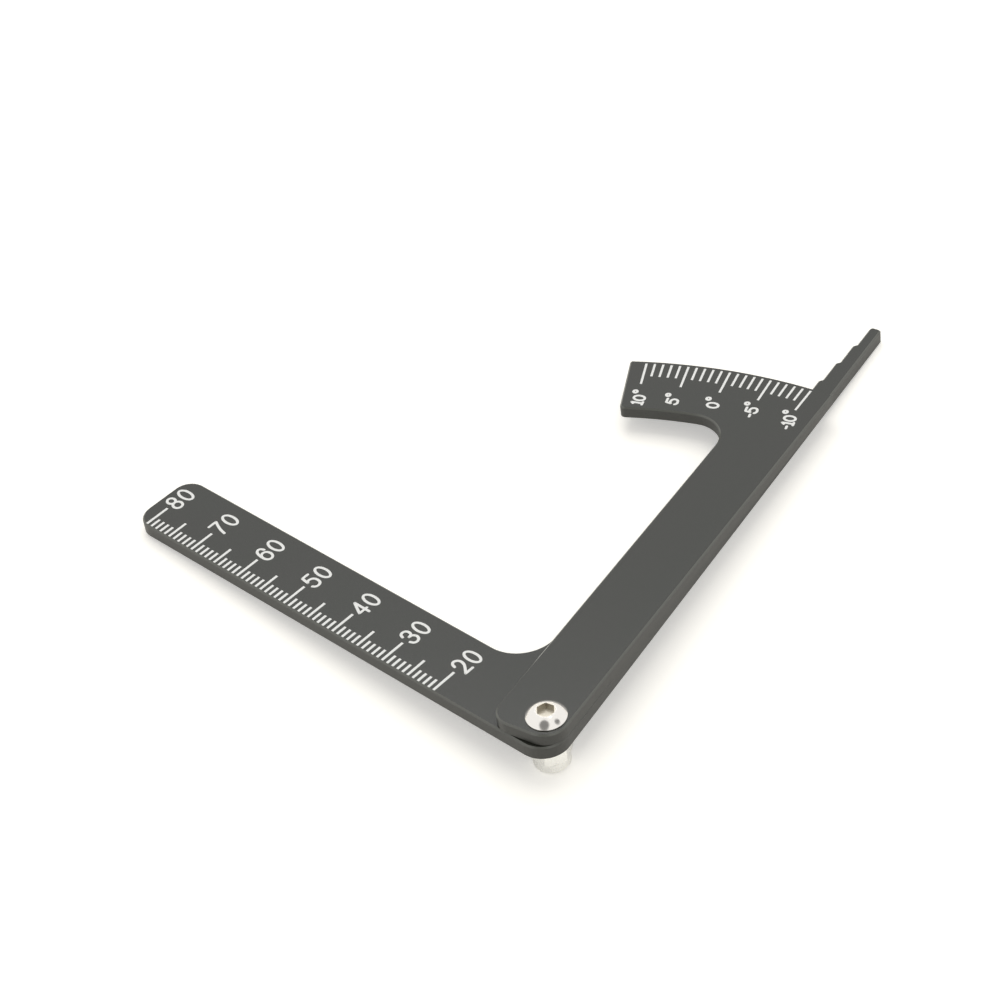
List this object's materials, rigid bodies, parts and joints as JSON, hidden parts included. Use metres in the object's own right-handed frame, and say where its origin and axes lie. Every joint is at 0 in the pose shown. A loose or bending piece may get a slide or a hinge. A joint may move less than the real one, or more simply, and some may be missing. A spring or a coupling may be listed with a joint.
{
  "type": "camber gauge",
  "caption": "Flat camber gauge: an L-shaped ruler plate with a stepped pointer tip, and a protractor arm that swings on a screw pivot and reads wheel lean in degrees.",
  "frame": {"origin": "middle of the base edge, the long outer edge of the ruler arm, at mid thickness of the ruler plate", "axes": "+X along the base edge towards the pivot, +Y up from the base edge, +Z out of the face that carries the scales"},
  "size_m": [0.0836, 0.1008, 0.0099],
  "materials": {
    "black_anodised": "satin black anodised aluminium sheet",
    "bright_steel": "polished stainless steel",
    "zinc_plated_steel": "bright zinc plated steel",
    "white_nylon": "natural white nylon"
  },
  "bodies": {
    "base": {"ruler_plate": "black_anodised", "pivot_screw": "bright_steel", "lock_nut": "zinc_plated_steel", "nut_insert": "white_nylon"},
    "arm": {"sector_arm": "black_anodised"}
  },
  "joints": [
    {"name": "arm_pivot", "type": "hinge", "parent": "base", "child": "arm", "pos_m": [0.0382, 0.00445, 0.00212], "axis": [0, 0, 1], "continuous": true}
  ]
}
